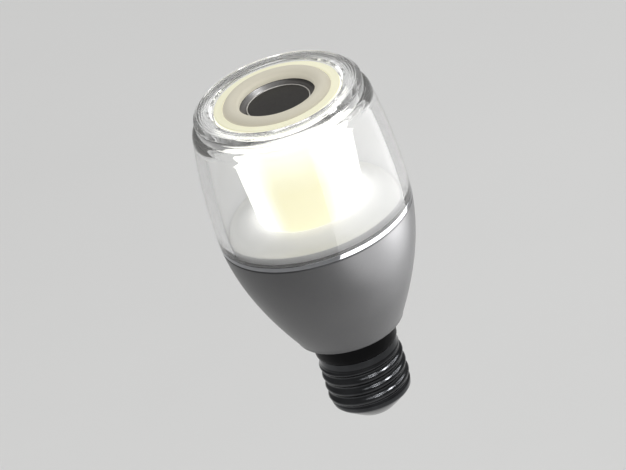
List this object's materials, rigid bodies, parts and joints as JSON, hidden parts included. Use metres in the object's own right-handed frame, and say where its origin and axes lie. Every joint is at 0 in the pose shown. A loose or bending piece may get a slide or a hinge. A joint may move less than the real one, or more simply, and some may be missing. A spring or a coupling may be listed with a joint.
{
  "type": "light bulb speaker",
  "caption": "LED light bulb with a loudspeaker facing out of its clear-covered top, a tapering silver housing and an Edison screw cap.",
  "frame": {"origin": "middle of the flat face of the centre contact, the end of the screw cap", "axes": "+Z along the bulb's axis, from the screw cap to the loudspeaker; X and Y across it, the bulb being round"},
  "size_m": [0.062, 0.062, 0.116],
  "materials": {
    "housing_silver": "satin silver paint",
    "trim_chrome": "polished",
    "cap_nickel": "nickel plated, polished",
    "contact_solder": "tinned, dull",
    "collar_black": "gloss black",
    "base_glass": "black glass",
    "clear_plastic": "clear, polished",
    "diffuser_opal": "opal, lit",
    "plate_white": "satin white",
    "surround_beige": "matt beige",
    "cone_dark": "matt dark grey",
    "gasket_grey": "matt",
    "cast_aluminium": "cast",
    "board_green": "solder resist",
    "board_white": "white solder resist",
    "led_phosphor": "phosphor",
    "moulded_black": "moulded",
    "speaker_black": "moulded",
    "can_sleeve": "shrink sleeve",
    "tape_yellow": "tape over ferrite",
    "film_red": "dipped",
    "ceramic_white": "ceramic",
    "ferrite": "sintered",
    "steel": "zinc plated",
    "copper": "enamelled wire",
    "spider_cloth": "resin-treated cloth",
    "former_paper": "paper",
    "wire_red": "sleeve",
    "wire_black": "sleeve",
    "wire_white": "sleeve"
  },
  "bodies": {
    "bulb": {"centre_contact": "contact_solder", "base_insulator": "base_glass", "screw_shell": "cap_nickel", "neck_collar": "collar_black", "live_lead": "wire_black", "neutral_lead": "wire_white", "housing_shell": "housing_silver", "heat_sink": "cast_aluminium", "power_board": "board_green", "smoothing_capacitor": "can_sleeve", "flyback_transformer": "tape_yellow", "bridge_rectifier": "moulded_black", "fuse_resistor": "ceramic_white", "line_filter_choke": "ferrite", "film_capacitor": "film_red", "board_header": "moulded_black", "audio_board": "board_green", "wireless_module": "steel", "amplifier_chip": "moulded_black", "audio_board_screw_1": "steel", "audio_board_screw_2": "steel", "audio_board_screw_3": "steel", "led_board": "board_white", "led_1": "led_phosphor", "led_2": "led_phosphor", "led_3": "led_phosphor", "led_4": "led_phosphor", "led_5": "led_phosphor", "led_6": "led_phosphor", "led_7": "led_phosphor", "led_8": "led_phosphor", "led_board_screw_1": "steel", "led_board_screw_2": "steel", "led_board_screw_3": "steel", "led_lead_positive": "wire_red", "led_lead_negative": "wire_black", "antenna_board": "board_green", "reflector_plate": "plate_white", "diffuser_cone": "diffuser_opal", "trim_ring": "trim_chrome", "cover_gasket": "gasket_grey", "clear_cover": "clear_plastic", "rim_ring": "clear_plastic", "back_chamber": "speaker_black", "speaker_frame": "speaker_black", "speaker_gasket": "gasket_grey", "front_plate": "steel", "magnet": "ferrite", "yoke": "steel", "terminal_strip": "board_green", "speaker_lead_positive": "wire_red", "speaker_lead_negative": "wire_black", "surround": "surround_beige", "spider": "spider_cloth"},
    "cone": {"speaker_cone": "cone_dark", "dust_cap": "cone_dark", "voice_coil_former": "former_paper", "voice_coil": "copper"}
  },
  "joints": [
    {"name": "cone_excursion", "type": "slide", "parent": "bulb", "child": "cone", "axis": [0, 0, 1], "range_m": [-0.0015, 0.0015], "stiffness_N_per_m": 1200, "deforming": ["surround", "spider"]}
  ]
}
